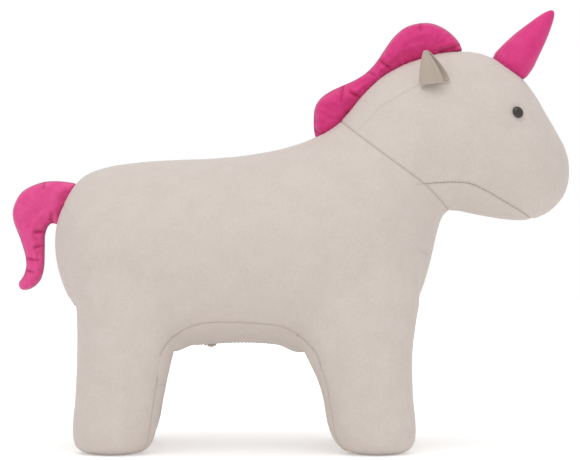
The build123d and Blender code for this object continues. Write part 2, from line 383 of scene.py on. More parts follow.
def prism(name, outline, axis, low, high):
    # outline points (x, z) carried along Y, or (x, y) carried along Z
    bm = bmesh.new()
    rings = []
    for level in (low, high):
        points = [(a, level, b) if axis == "y" else (a, b, level) for a, b in outline]
        rings.append([bm.verts.new(p) for p in points])
    bm.faces.new(rings[0])
    bm.faces.new(rings[1][::-1])
    for i in range(len(outline)):
        j = (i + 1) % len(outline)
        bm.faces.new((rings[0][i], rings[1][i], rings[1][j], rings[0][j]))
    bmesh.ops.recalc_face_normals(bm, faces=bm.faces)
    obj = objectFromBmesh(name, bm)
    obj.hide_render = True
    return obj


def combine(obj, other, operation):
    modifier = obj.modifiers.new("cut", "BOOLEAN")
    modifier.object = other
    modifier.operation = operation
    modifier.solver = "MANIFOLD"
    settle(obj)


def copyOf(obj, name):
    return objectFrom(name, obj.data.copy())


def discard(*objects):
    for obj in objects:
        bpy.data.objects.remove(obj)


def finishPiece(obj, finish, body, nodes=()):
    obj.data.materials.clear()
    obj.data.materials.append(finishes[finish])
    obj.data.shade_smooth()
    if nodes:
        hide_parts(*nodes)
    if body:
        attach(obj, body)
    return obj


def storeShade(obj, values):
    layer = obj.data.attributes.get("seamShade") or obj.data.attributes.new("seamShade", "FLOAT", "POINT")
    layer.data.foreach_set("value", values.astype(np.float32))


# ---- seams of the body: lines on the side view (x, z), or on the plan of a leg (x, y)
seams = {
    "neck": [(0.058, 0.482), (0.075, 0.469), (0.145, 0.418), (0.192, 0.383), (0.218, 0.355), (0.238, 0.330)],
    "chin": [(0.180, 0.384), (0.244, 0.386), (0.274, 0.376), (0.298, 0.362), (0.331, 0.342), (0.352, 0.326)],
    "belly": [
        (-0.187, 0.100), (-0.184, 0.140), (-0.177, 0.154), (-0.164, 0.169), (-0.130, 0.185),
        (-0.086, 0.188), (-0.020, 0.183), (0.008, 0.172), (0.031, 0.153), (0.042, 0.132), (0.042, 0.100),
    ],
    "rearLeg": [(-0.330, 0.036), (-0.193, 0.118), (-0.150, 0.144)],
    "frontLeg": [(0.010, 0.142), (0.051, 0.118), (0.210, 0.024)],
    "earDart": [
        (0.096, 0.459), (0.124, 0.488), (0.140, 0.500), (0.183, 0.523), (0.220, 0.534), (0.250, 0.541),
    ],
    "rumpDart": [(-0.345, 0.366), (-0.325, 0.349), (-0.306, 0.335)],
    "chestDart": [(0.173, 0.296), (0.199, 0.281), (0.215, 0.272)],
}
seamSpacing = 0.012
darts = {
    "earDart": {"fade": 0.050, "aside": 0.03},
    "rumpDart": {"fade": 0.024, "aside": 0.0},
    "chestDart": {"fade": 0.024, "aside": 0.0},
}
bodyForm = {
    "voxel": 0.0062, "evenRounds": 26, "coverThickness": 0.0033, "coverLift": 0.0016,
    "swell": 3.0, "cap": 0.004, "holdReach": 0.03, "footHeight": 0.012,
    "grooveWidth": 0.0021, "grooveDepth": 0.0012, "seamShadeWidth": 0.0013,
    "pull": 0.0008, "pullReach": 0.010, "pucker": 0.0006, "puckerPitch": 0.021, "refineReach": 0.0075,
    "soleTop": 0.003, "rearLegTop": 0.206, "frontLegTop": 0.190, "rearSeamTop": 0.144,
    "frontSeamTop": 0.134, "rearBellyLow": 0.142, "frontBellyLow": 0.130, "rearLegEnd": -0.17,
    "frontLegStart": 0.02, "underTop": 0.21, "legTopLow": 0.18, "crotchHalf": 0.060, "zipClear": 0.02,
    "bellyEnds": [(-0.163, 0.018), (0.008, 0.020)], "endDrop": 0.009, "endLow": 0.12, "endHigh": 0.17,
}
bodyNodes = [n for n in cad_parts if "filling" in n or "board" in n]
bodyNodes = [n for n in bodyNodes if n.split("_")[0] in ("torso", "head", "front", "rear")]


def smoothLine(points, spacing):
    # an evenly spaced curve through the points
    points = np.array(points, float)
    padded = np.vstack((2 * points[0] - points[1], points, 2 * points[-1] - points[-2]))
    dense = []
    for a, b, c, d in zip(padded, padded[1:], padded[2:], padded[3:]):
        for t in np.arange(0, 1, 0.1):
            square = (2 * a - 5 * b + 4 * c - d) * t**2
            dense.append(0.5 * (2 * b + (c - a) * t + square + (3 * b - a - 3 * c + d) * t**3))
    dense = np.array(dense + [points[-1]])
    run = np.concatenate(([0], np.cumsum(np.linalg.norm(np.diff(dense, axis=0), axis=1))))
    wanted = np.linspace(0, run[-1], max(2, round(run[-1] / spacing)) + 1)
    return np.column_stack([np.interp(wanted, run, dense[:, i]) for i in range(dense.shape[1])])


seams = {name: [tuple(p) for p in smoothLine(line, seamSpacing)] for name, line in seams.items()}


def nearLine(points, line):
    # distance of 2-D points from a line, the unit direction away from it, and the run along it
    best = np.full(len(points), 1e9)
    away = np.zeros((len(points), 2))
    run = np.zeros(len(points))
    done = 0.0
    for a, b in zip(line[:-1], line[1:]):
        a, b = np.array(a), np.array(b)
        length = np.linalg.norm(b - a)
        t = np.clip((points - a) @ (b - a) / length**2, 0, 1)
        gap = points - (a + t[:, None] * (b - a))
        distance = np.linalg.norm(gap, axis=1)
        closer = distance < best
        best[closer] = distance[closer]
        away[closer] = gap[closer] / np.maximum(distance[closer], 1e-9)[:, None]
        run[closer] = done + t[closer] * length
        done += length
    return best, away, run


def onSurface(distance, away, normals):
    # a distance in a flat view becomes the distance along the slanted surface
    lean = np.einsum("ij,ij->i", away, normals)
    return distance / np.sqrt(np.maximum(1 - lean**2, 0.04))


def seamDistance(name, co, normals):
    plan = name.endswith("Leg")
    if plan:
        points = np.column_stack((co[:, 0], np.abs(co[:, 1])))
    else:
        points = co[:, [0, 2]]
    distance, flat, run = nearLine(points, seams[name])
    away = np.zeros_like(co)
    away[:, 0] = flat[:, 0]
    away[:, 1 if plan else 2] = flat[:, 1] * (np.sign(co[:, 1]) if plan else 1)
    return onSurface(distance, away, normals), run


def inside(points, outline):
    # which 2-D points lie inside a closed outline
    result = np.zeros(len(points), bool)
    x, y = points.T
    for (x1, y1), (x2, y2) in zip(outline, outline[1:] + outline[:1]):
        crosses = (y1 > y) != (y2 > y)
        with np.errstate(divide="ignore", invalid="ignore"):
            at = (x2 - x1) * (y - y1) / (y2 - y1) + x1
        result ^= crosses & (x < at)
    return result


headOutline = seams["neck"] + [(0.260, 0.300), (0.430, 0.300), (0.430, 0.640), (0.058, 0.640)]
chinOutline = seams["chin"] + [(0.360, 0.280), (0.180, 0.280)]
bellyOutline = seams["belly"]
rearLegOutline = [(-0.193, 0.118), (-0.150, 0.118), (-0.150, 0.0), (-0.330, 0.0), (-0.330, 0.036)]
frontLegOutline = [(0.051, 0.118), (0.010, 0.118), (0.010, 0.0), (0.210, 0.0), (0.210, 0.024)]


def seamReading(co, normals):
    # for each vertex: distance to the nearest sewn line, and the run along it
    side = co[:, [0, 2]]
    plan = np.column_stack((co[:, 0], np.abs(co[:, 1])))
    isHead = inside(side, headOutline)
    isChin = isHead & inside(side, chinOutline)
    isBelly = ~isHead & inside(side, bellyOutline)
    low = co[:, 2]
    rearLeg = (low < bodyForm["rearLegTop"]) & inside(plan, rearLegOutline) & ~isBelly
    frontLeg = (low < bodyForm["frontLegTop"]) & inside(plan, frontLegOutline) & ~isBelly
    best = np.full(len(co), 1.0)
    along = np.zeros(len(co))

    def offer(distance, run, where):
        closer = where & (distance < best)
        best[closer] = distance[closer]
        along[closer] = run[closer]

    everywhere = np.ones(len(co), bool)
    middle = onSurface(np.abs(co[:, 1]), np.tile((0.0, 1.0, 0.0), (len(co), 1)), normals)
    offer(middle, co[:, 0] + co[:, 2], ~isChin & ~isBelly)
    distance, run = seamDistance("neck", co, normals)
    offer(distance, run, everywhere)
    distance, run = seamDistance("chin", co, normals)
    offer(distance, run, isHead)
    distance, run = seamDistance("belly", co, normals)
    bellyLow = np.where(co[:, 0] < 0, bodyForm["rearBellyLow"], bodyForm["frontBellyLow"])
    offer(distance, run, ~isHead & (low > bellyLow))
    legUnder = (low < bodyForm["underTop"]) & ~isBelly
    inner = np.abs(co[:, 1]) < bodyForm["crotchHalf"]
    distance, run = seamDistance("rearLeg", co, normals)
    isRear = co[:, 0] < bodyForm["rearLegEnd"]
    offer(distance, low, legUnder & isRear & (inner | (low < bodyForm["rearSeamTop"])))
    distance, run = seamDistance("frontLeg", co, normals)
    short = inner & (low < bodyForm["frontLegTop"]) | (low < bodyForm["frontSeamTop"])
    offer(distance, low, legUnder & (co[:, 0] > bodyForm["frontLegStart"]) & short)
    top = np.where(rearLeg, bodyForm["rearLegTop"], bodyForm["frontLegTop"])
    offer(np.abs(low - top), co[:, 1], (rearLeg | frontLeg) & (low > bodyForm["legTopLow"]) & inner)
    return best, along


def dartReading(co, normals):
    # a dart's strength at each vertex, from 0 to 1, which fades out towards its ends
    strength = np.zeros(len(co))
    for name, dart in darts.items():
        distance, run = seamDistance(name, co, normals)
        total = sum(math.dist(a, b) for a, b in zip(seams[name], seams[name][1:]))
        ends = np.clip((total - run) / dart["fade"], 0, 1)
        if name != "earDart":
            ends = np.minimum(ends, np.clip(run / dart["fade"], 0, 1))
        groove = np.exp(-((distance / bodyForm["grooveWidth"]) ** 2)) * ends
        strength = np.maximum(strength, groove * (np.abs(co[:, 1]) > dart["aside"]))
    return strength


def bodyMesh():
    # the fillings as one smooth skin, which the covers are cut from
    body = joinedCopy("stuffedBody", bodyNodes)
    remesh(body, bodyForm["voxel"])
    relax(body, bodyForm["evenRounds"])
    co = positions(body)
    place(body, co + directions(body) * (bodyForm["coverThickness"] + bodyForm["coverLift"]))
    distance, _ = seamReading(positions(body), directions(body))
    hold = np.clip(1.3 - distance / bodyForm["holdReach"], 0, 1)
    hold = np.maximum(hold, (positions(body)[:, 2] < bodyForm["footHeight"]) * 1.0)
    inflate(body, bodyForm["swell"], bodyForm["cap"], hold)
    relax(body, 3)
    subdivide(body)
    return body


def refineNearSeams(body, reach):
    distance, _ = seamReading(positions(body), directions(body))
    darts = dartReading(positions(body), directions(body))
    near = (distance < reach) | (darts > 0.05)
    bm = bmesh.new()
    bm.from_mesh(body.data)
    bm.verts.ensure_lookup_table()
    chosen = [e for e in bm.edges if near[e.verts[0].index] and near[e.verts[1].index]]
    bmesh.ops.subdivide_edges(bm, edges=chosen, cuts=1, use_grid_fill=True)
    bmesh.ops.triangulate(bm, faces=[f for f in bm.faces if len(f.verts) > 4])
    bm.to_mesh(body.data)
    bm.free()
    body.data.update()
    distance, _ = seamReading(positions(body), directions(body))
    relax(body, 2, 0.35, (distance < reach * 1.4) * 1.0)


def sewBody(body):
    # the underside drops where it meets the legs; then seams, darts and puckers are pressed in
    co, normals = positions(body), directions(body)
    aside = np.clip((np.abs(co[:, 1]) - bodyForm["zipClear"]) / bodyForm["zipClear"], 0, 1)
    aside = aside * ((co[:, 2] > bodyForm["endLow"]) & (co[:, 2] < bodyForm["endHigh"]))
    for middle, reach in bodyForm["bellyEnds"]:
        near = np.exp(-(((co[:, 0] - middle) / reach) ** 2)) * np.clip(-normals[:, 2], 0, 1) ** 2
        co[:, 2] -= bodyForm["endDrop"] * near * aside
    distance, run = seamReading(co, normals)
    groove = np.exp(-((distance / bodyForm["grooveWidth"]) ** 2))
    groove = np.maximum(groove, dartReading(co, normals) * 0.6)
    pull = np.exp(-distance / bodyForm["pullReach"])
    ripple = np.cos(2 * math.pi * run / bodyForm["puckerPitch"]) * np.cos(run * 190.0 + co[:, 1] * 60)
    depth = groove * bodyForm["grooveDepth"] + pull * (bodyForm["pull"] + ripple * bodyForm["pucker"])
    co = co - normals * depth[:, None]
    co[:, 2] = np.maximum(co[:, 2], 0.0)
    place(body, co)


def makeBody():
    body = bodyMesh()
    refineNearSeams(body, bodyForm["refineReach"])
    sewBody(body)
    print("body form made:", len(body.data.polygons), "faces")
    return body


stuffedBody = makeBody()
bodySkin = BVHTree.FromObject(stuffedBody, bpy.context.evaluated_depsgraph_get())
zipForm = {
    "rear": -0.1265, "front": -0.0035, "slit": 0.0070, "pocket": 0.0137, "pocketTop": 0.1565,
    "stitchRow": 0.0105, "archRadius": 0.420, "archTop": 0.1522, "boxLow": 0.1,
}
zone = {
    "length": 0.45, "side": 0.3, "reach": 0.25, "under": -0.1, "below": -0.02, "above": 0.8,
    "liningDepth": 0.7,
    "rear": (-0.4, -0.1), "front": (-0.05, 0.3),
}


def zipBox(name, halfWidth):
    rear, front = zipForm["rear"], zipForm["front"]
    corners = [(rear, -halfWidth), (front, -halfWidth), (front, halfWidth), (rear, halfWidth)]
    return prism(name, corners, "z", zipForm["boxLow"], zipForm["pocketTop"])


def sideRectangle(rear, front, side):
    # a rectangle on the ground from the middle plane out to one side
    return [(rear, 0.0), (front, 0.0), (front, zone["side"] * side), (rear, zone["side"] * side)]


def cutPanels(body):
    lining = copyOf(body, "lining")
    lining.hide_render = True
    place(lining, positions(body) - directions(body) * bodyForm["coverThickness"] * zone["liningDepth"])
    reach, length = zone["reach"], zone["length"]
    head = prism("headZone", headOutline, "y", -reach, reach)
    chin = prism("chinZone", chinOutline, "y", -reach, reach)
    belly = prism("bellyZone", bellyOutline, "y", -reach, reach)
    wide = [(-length, -length), (length, -length), (length, length), (-length, length)]
    ground = prism("groundZone", wide, "z", zone["below"], bodyForm["soleTop"])
    zones = [head, chin, belly, ground]
    panels = {}

    def panel(name, steps):
        made = copyOf(body, name)
        for cutter, operation in steps:
            combine(made, cutter, operation)
        combine(made, lining, "DIFFERENCE")
        panels[name] = made

    keep, drop = "INTERSECT", "DIFFERENCE"
    panel("chinGusset", [(head, keep), (chin, keep)])
    slit = zipBox("slit", zipForm["slit"])
    panel("bellyGusset", [(belly, keep), (head, drop), (slit, drop)])
    for side, sideName in ((1, "Left"), (-1, "Right")):
        half = prism("half", sideRectangle(-length, length, side), "z", zone["under"], zone["above"])
        legs = []
        for outline, end in ((rearLegOutline, "rear"), (frontLegOutline, "front")):
            points = [(x, y * side) for x, y in outline]
            leg = prism("legZone", points, "z", bodyForm["soleTop"], bodyForm[end + "LegTop"])
            flank = [(x, side * (bodyForm["crotchHalf"] if y < 0 else zone["side"])) for x, y in wide]
            above = prism("aboveZone", flank, "z", bodyForm[end + "SeamTop"], zone["above"])
            combine(leg, above, "DIFFERENCE")
            discard(above)
            panel(f"{end}InnerLeg{sideName}", [(leg, keep), (belly, drop)])
            foot = prism("footZone", sideRectangle(*zone[end], side), "z", zone["below"], bodyForm["soleTop"])
            panel(f"{end}Sole{sideName}", [(foot, keep)])
            legs.append(leg)
            zones += [leg, foot]
        rest = [(half, keep), (head, drop), (belly, drop), (ground, drop)] + [(leg, drop) for leg in legs]
        panel(f"bodySide{sideName}", rest)
        panel(f"headSide{sideName}", [(half, keep), (head, keep), (chin, drop)])
        zones.append(half)
    filling = copyOf(body, "bodyFilling")
    place(filling, positions(body) - directions(body) * bodyForm["coverThickness"])
    pocket = zipBox("pocket", zipForm["pocket"])
    combine(filling, pocket, "DIFFERENCE")
    discard(lining, slit, pocket, *zones)
    return panels, filling


def finishBody():
    panels, filling = cutPanels(stuffedBody)
    for name, piece in panels.items():
        node = "".join("_" + c.lower() if c.isupper() else c for c in name)
        normals = directions(piece)
        distance, _ = seamReading(positions(piece), normals)
        dart = dartReading(positions(piece), normals)
        # painted shade in the seam grooves and along the darts, stored as seamShade; it is not the colour of
        # the thread
        thread = np.exp(-((distance / bodyForm["seamShadeWidth"]) ** 2))
        storeShade(piece, np.maximum(thread, dart * 0.45))
        finishPiece(piece, "creamCloth", "body", [node])
    finishPiece(filling, "fibreFill", "body", bodyNodes)
    discard(stuffedBody)
    print("body panels cut:", len(panels))


finishBody()


# ---- stitches and zip teeth: small pieces set along a line by one node tree
def rowTree():
    tree = bpy.data.node_groups.new("sewnRow", "GeometryNodeTree")
    face = tree.interface
    face.new_socket("Line", in_out="INPUT", socket_type="NodeSocketGeometry")
    for name in ("Pitch", "Length", "Width", "Height"):
        face.new_socket(name, in_out="INPUT", socket_type="NodeSocketFloat").default_value = 0.001
    face.new_socket("Finish", in_out="INPUT", socket_type="NodeSocketMaterial")
    face.new_socket("Row", in_out="OUTPUT", socket_type="NodeSocketGeometry")

    def node(kind, settings=None, **values):
        made = tree.nodes.new(kind)
        for key, value in (settings or {}).items():
            setattr(made, key, value)
        for key, value in values.items():
            if isinstance(value, bpy.types.NodeSocket):
                tree.links.new(value, made.inputs[key.replace("_", " ")])
            else:
                made.inputs[key.replace("_", " ")].default_value = value
        return made

    start = tree.nodes.new("NodeGroupInput").outputs
    curve = node("GeometryNodeMeshToCurve", Mesh=start["Line"]).outputs[0]
    spaced = node("GeometryNodeResampleCurve", {"mode": "LENGTH"}, Curve=curve, Length=start["Pitch"])
    tangent = tree.nodes.new("GeometryNodeInputTangent").outputs[0]
    turned = node("FunctionNodeAlignRotationToVector", {"axis": "X"}, Vector=tangent)
    size = node("ShaderNodeCombineXYZ", X=start["Length"], Y=start["Width"], Z=start["Height"])
    bead = node("GeometryNodeMeshUVSphere", Segments=8, Rings=5, Radius=0.5)
    placed = node(
        "GeometryNodeInstanceOnPoints",
        Points=spaced.outputs[0], Instance=bead.outputs[0], Rotation=turned.outputs[0], Scale=size.outputs[0],
    )
    real = node("GeometryNodeRealizeInstances", Geometry=placed.outputs[0])
    painted = node("GeometryNodeSetMaterial", Geometry=real.outputs[0], Material=start["Finish"])
    tree.links.new(painted.outputs[0], tree.nodes.new("NodeGroupOutput").inputs[0])
    return tree


sewnRow = rowTree()


def makeRow(name, lines, pitch, size, finish):
    # one mesh of small beads along each of the given lines
    bm = bmesh.new()
    for line in lines:
        verts = [bm.verts.new(p) for p in line]
        for a, b in zip(verts, verts[1:]):
            bm.edges.new((a, b))
    obj = objectFromBmesh(name, bm)
    modifier = obj.modifiers.new("row", "NODES")
    modifier.node_group = sewnRow
    sockets = {s.name: s.identifier for s in sewnRow.interface.items_tree if s.in_out == "INPUT"}
    values = dict(zip(("Length", "Width", "Height"), size), Pitch=pitch, Finish=finishes[finish])
    for key, value in values.items():
        modifier[sockets[key]] = value
    settle(obj)
    return obj


# ---- mane and tail: two panels sewn round their edge, then filled
mane = {
    "freeEdge": [
        (0.037, 0.443), (0.0345, 0.458), (0.034, 0.474), (0.036, 0.490), (0.044, 0.503), (0.058, 0.513),
        (0.075, 0.521), (0.093, 0.529), (0.110, 0.540), (0.124, 0.555), (0.136, 0.573), (0.149, 0.591),
        (0.166, 0.605), (0.187, 0.611), (0.206, 0.610), (0.225, 0.601), (0.241, 0.586), (0.248, 0.571),
    ],
    "rootEdge": [
        (0.248, 0.571), (0.220, 0.5645), (0.187, 0.556), (0.165, 0.5485), (0.145, 0.538), (0.127, 0.524),
        (0.109, 0.507), (0.093, 0.488), (0.080, 0.471), (0.064, 0.4555), (0.050, 0.4475), (0.037, 0.443),
    ],
    "creases": [
        [(0.128, 0.558), (0.136, 0.553), (0.144, 0.546)], [(0.112, 0.541), (0.123, 0.535)],
        [(0.077, 0.521), (0.075, 0.508), (0.074, 0.499)], [(0.186, 0.611), (0.187, 0.600)],
        [(0.244, 0.580), (0.230, 0.575), (0.216, 0.570)], [(0.034, 0.459), (0.044, 0.451)],
        [(0.088, 0.511), (0.099, 0.506)],
    ],
    "startHalf": 0.0165, "puff": 0.022, "pressure": 5.0, "grow": 0.05, "cap": 0.008, "spacing": 0.0042,
    "body": "mane", "finish": "pinkVelour",
    "blendFrom": (0.0327, 0.0, 0.4674), "blendTo": (0.0160, 0.0, 0.4947),
}
tail = {
    "freeEdge": [
        (-0.305, 0.3805), (-0.336, 0.384), (-0.361, 0.381), (-0.386, 0.368), (-0.398, 0.346), (-0.398, 0.327),
        (-0.388, 0.300), (-0.381, 0.276), (-0.380, 0.260), (-0.384, 0.247), (-0.391, 0.236), (-0.386, 0.227),
        (-0.371, 0.230), (-0.359, 0.242), (-0.354, 0.260), (-0.353, 0.285), (-0.352, 0.309), (-0.344, 0.323),
        (-0.330, 0.3195),
    ],
    "rootEdge": [(-0.330, 0.3195), (-0.317, 0.350), (-0.305, 0.3805)],
    "creases": [
        [(-0.366, 0.311), (-0.352, 0.312)], [(-0.378, 0.273), (-0.362, 0.271)],
        [(-0.366, 0.289), (-0.355, 0.291)],
        [(-0.341, 0.321), (-0.343, 0.330), (-0.341, 0.339)], [(-0.378, 0.256), (-0.368, 0.253)],
        [(-0.352, 0.383), (-0.354, 0.374)],
    ],
    "startHalf": 0.0145, "puff": 0.020, "pressure": 5.0, "grow": 0.05, "cap": 0.006, "spacing": 0.0038,
    "body": "tail", "finish": "tailVelour",
    "blendFrom": (-0.3233, 0.0, 0.3523), "blendTo": (-0.3474, 0.0, 0.3621),
}
edgeSeam = {"pucker": 0.0011, "pitch": 0.0135, "fade": 0.012, "start": 0.003, "shadeWidth": 0.0014}
creaseForm = {
    "depth": 0.0045, "width": 0.0024, "shade": 0.7, "shadeWidth": 0.0017,
    "lip": 0.3, "lipAt": 0.006, "lipWidth": 0.003,
}
trimThickness = 0.002


def pillowMesh(name, outline, spec):
    # two triangulated panels that share the outline's points
    spacing = spec["spacing"]
    low, high = outline.min(axis=0), outline.max(axis=0)
    rows = np.arange(low[1], high[1], spacing * math.sqrt(0.75))
    columns = np.arange(low[0], high[0], spacing)
    grid = np.array([(x + (i % 2) * spacing / 2, z) for i, z in enumerate(rows) for x in columns])
    closed = [tuple(p) for p in outline] + [tuple(outline[0])]
    grid = grid[inside(grid, closed[:-1])]
    grid = grid[nearLine(grid, closed)[0] > spacing * 0.6]
    points = [Vector(p) for p in np.vstack((outline, grid))]
    border = [(i, (i + 1) % len(outline)) for i in range(len(outline))]
    flat, _, faces, *_ = geometry.delaunay_2d_cdt(points, border, [], 1, 1e-7)
    flat = np.array([tuple(p) for p in flat])
    edgeGap = nearLine(flat, closed)[0]
    rise = spec["startHalf"] * np.sqrt(1 - (1 - np.clip(edgeGap / spec["puff"], 0, 1)) ** 2)
    bm = bmesh.new()
    layers = {1: [], -1: []}
    for point, gap, lift in zip(flat, edgeGap, rise):
        onEdge = gap < 1e-5
        left = bm.verts.new((point[0], 0 if onEdge else lift, point[1]))
        layers[1].append(left)
        layers[-1].append(left if onEdge else bm.verts.new((point[0], -lift, point[1])))
    onBorder = edgeGap < 1e-5
    middles = np.array([flat[list(face)].mean(axis=0) for face in faces])
    kept = inside(middles, closed[:-1]) & ~np.array([all(onBorder[i] for i in face) for face in faces])
    faces = [face for face, keep in zip(faces, kept) if keep]
    for side, verts in layers.items():
        for face in faces:
            bm.faces.new([verts[i] for i in (face[::-1] if side > 0 else face)])
    bmesh.ops.delete(bm, geom=[v for v in bm.verts if not v.link_faces], context="VERTS")
    crease = bm.edges.layers.float.new("crease_edge")
    for edge in bm.edges:
        if all(abs(v.co.y) < 1e-9 for v in edge.verts):
            edge[crease] = 1.0
    bmesh.ops.recalc_face_normals(bm, faces=bm.faces)
    return objectFromBmesh(name, bm), closed


def sewTrim(obj, closed, spec):
    # the edge seam, its puckers and the creases, pressed into the filled form
    co = positions(obj)
    flat = co[:, [0, 2]]
    gap, _, run = nearLine(flat, closed)
    wave = np.cos(2 * math.pi * run / edgeSeam["pitch"] + 1.8 * np.sin(run * 47) + np.sign(co[:, 1]))
    depth = edgeSeam["pucker"] * wave * np.exp(-gap / edgeSeam["fade"]) * np.clip(gap / edgeSeam["start"], 0, 1)
    for line in spec["creases"]:
        distance, _, along = nearLine(flat, line)
        total = sum(math.dist(a, b) for a, b in zip(line, line[1:]))
        ends = np.clip(1.35 - np.abs(along / total - 0.35) * 1.5, 0.25, 1)
        depth += creaseForm["depth"] * ends * np.exp(-((distance / creaseForm["width"]) ** 2))
        lip = np.exp(-(((distance - creaseForm["lipAt"]) / creaseForm["lipWidth"]) ** 2))
        depth -= creaseForm["lip"] * creaseForm["depth"] * ends * lip
    room = np.abs(co[:, 1]) * 0.6
    co[:, 1] -= np.sign(co[:, 1]) * np.minimum(depth, room)
    place(obj, co)


def shellFrom(form, name, side, inner):
    # a closed shell: one side's faces, an inner copy of them, and a rim that joins the two
    bm = bmesh.new()
    bm.from_mesh(form.data)
    bm.verts.ensure_lookup_table()
    chosen = [f for f in bm.faces if sum(v.co.y for v in f.verts) * side > 0]
    twin = {}
    for face in chosen:
        for v in face.verts:
            if v not in twin:
                twin[v] = bm.verts.new(inner[v.index])
    others = set(bm.faces) - set(chosen)
    borders = [e for e in bm.edges if {f in others for f in e.link_faces} == {True, False}]
    rims = []
    for edge in borders:
        loop = next(l for l in edge.link_loops if l.face not in others)
        rims.append((loop.vert, loop.link_loop_next.vert))
    for face in chosen:
        bm.faces.new([twin[v] for v in reversed(face.verts)])
    bmesh.ops.delete(bm, geom=list(others), context="FACES")
    for a, b in rims:
        bm.faces.new((b, a, twin[a], twin[b]))
    return objectFromBmesh(name, bm)


def makeTrim(name, spec):
    outline = np.vstack([smoothLine(spec[part], spec["spacing"])[:-1] for part in ("freeEdge", "rootEdge")])
    form, closed = pillowMesh(name + "Form", outline, spec)
    hold = (np.abs(positions(form)[:, 1]) < 1e-6) * 1.0
    inflate(form, spec["pressure"], spec["cap"], hold, stiffness=20.0, bending=0.15, shrink=-spec["grow"])
    for _ in range(2):
        subdivide(form)
    sewTrim(form, closed, spec)
    inner = positions(form)
    inner[:, 1] -= np.sign(inner[:, 1]) * np.minimum(np.abs(inner[:, 1]) * 0.6, trimThickness)
    filling = copyOf(form, name + "Filling")
    place(filling, inner)
    for side, sideName in ((1, "Left"), (-1, "Right")):
        panel = shellFrom(form, f"{name}Panel{sideName}", side, inner)
        flat = positions(panel)[:, [0, 2]]
        # painted shade along the edge seam and in the creases, stored as seamShade
        shading = np.exp(-((nearLine(flat, closed)[0] / edgeSeam["shadeWidth"]) ** 2))
        for line in spec["creases"]:
            fold = np.exp(-((nearLine(flat, line)[0] / creaseForm["shadeWidth"]) ** 2))
            shading = np.maximum(shading, creaseForm["shade"] * fold)
        storeShade(panel, shading)
        nodes = [f"{name}_panel_{sideName.lower()}"]
        finishPiece(panel, spec["finish"], None, nodes)
        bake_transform(panel)
    finishPiece(filling, "fibreFill", None, [f"{name}_filling", f"{name}_seam_strip"])
    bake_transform(filling)
    print(name, "made, half thickness", round(float(np.abs(positions(form)[:, 1]).max()), 4))
    discard(form)


makeTrim("mane", mane)
makeTrim("tail", tail)


# ---- turned pieces: horn and eyes
def lathe(name, profile, origin, direction, segments, shape=None):
    # profile is (height, radius); shape may change the radius with height and angle
    axis = Vector(direction).normalized()
    across = axis.orthogonal().normalized() if abs(axis.y) > 0.5 else Vector((0, 1, 0))
    third = axis.cross(across)
    bm = bmesh.new()
    rings = []
    for height, radius in profile:
        ring = []
        for k in range(segments):
            angle = 2 * math.pi * k / segments
            r = radius * (shape(height, angle) if shape else 1.0)
            point = Vector(origin) + axis * height + (across * math.cos(angle) + third * math.sin(angle)) * r
            ring.append(bm.verts.new(point))
        rings.append(ring)
    for below, above in zip(rings, rings[1:]):
        for k in range(segments):
            m = (k + 1) % segments
            bm.faces.new((below[k], below[m], above[m], above[k]))
    for ring, end in ((rings[0], profile[0][0]), (rings[-1], profile[-1][0])):
        pole = bm.verts.new(Vector(origin) + axis * end)
        for k in range(segments):
            bm.faces.new((ring[k], ring[(k + 1) % segments], pole))
    bmesh.ops.recalc_face_normals(bm, faces=bm.faces)
    return objectFromBmesh(name, bm)


horn = {
    "root": (0.314, 0.0, 0.546), "direction": (0.61, 0.0, 0.79), "segments": 96,
    "profile": [
        (-0.006, 0.0262), (0.0, 0.0276), (0.006, 0.0284), (0.014, 0.0284), (0.025, 0.0274), (0.042, 0.0239),
        (0.055, 0.0206), (0.067, 0.0173), (0.079, 0.0138), (0.089, 0.0105), (0.097, 0.0072), (0.102, 0.0042),
        (0.1045, 0.0014),
    ],
    "puckers": 17, "puckerDepth": 0.034, "seamDepth": 0.05,
}


def hornShape(height, angle):
    base = math.exp(-max(height, 0.0) / 0.008)
    pucker = math.cos(horn["puckers"] * angle + 1.4 * math.sin(3 * angle)) * horn["puckerDepth"] * base
    seam = math.exp(-(((angle - 1.5 * math.pi) / 0.05) ** 2)) * horn["seamDepth"]
    soft = 0.012 * math.sin(2 * angle + height * 60) + 0.008 * math.sin(5 * angle - height * 130)
    return 1 + pucker - seam + soft - 0.05 * math.exp(-((height / 0.0035) ** 2))


def makeHorn():
    curve = smoothLine(horn["profile"], 0.0016)
    cover = lathe("hornCover", curve, horn["root"], horn["direction"], horn["segments"], hornShape)
    inner = [(max(h - 0.002, -0.009), max(r - trimThickness, 0.0004)) for h, r in curve]
    filling = lathe("hornFilling", inner, horn["root"], horn["direction"], horn["segments"], hornShape)
    combine(cover, filling, "DIFFERENCE")
    rise = (positions(cover) - np.array(horn["root"])) @ np.array(Vector(horn["direction"]).normalized())
    # painted shade: the cover darkens at its base, where it meets the head
    storeShade(cover, 0.7 * np.exp(-np.maximum(rise, 0) / 0.003))
    finishPiece(cover, "pinkVelour", None, ["horn_cover"])
    finishPiece(filling, "fibreFill", None, ["horn_filling"])
    for piece in (cover, filling):
        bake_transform(piece)
    print("horn made")


makeHorn()

eye = {
    "centre": (0.323, 0.0833, 0.485), "outward": (0.445, 0.81, 0.384), "segments": 64,
    "dome": [
        (-0.0006, 0.0070), (-0.0003, 0.0079), (0.0003, 0.0084), (0.0010, 0.0085), (0.0018, 0.0082),
        (0.0030, 0.0074), (0.0042, 0.0060), (0.0051, 0.0042), (0.0056, 0.0022), (0.0058, 0.0004),
    ],
    "shankRadius": 0.0025, "ridge": 0.0004, "shankLength": 0.016, "ridgePitch": 0.002,
}


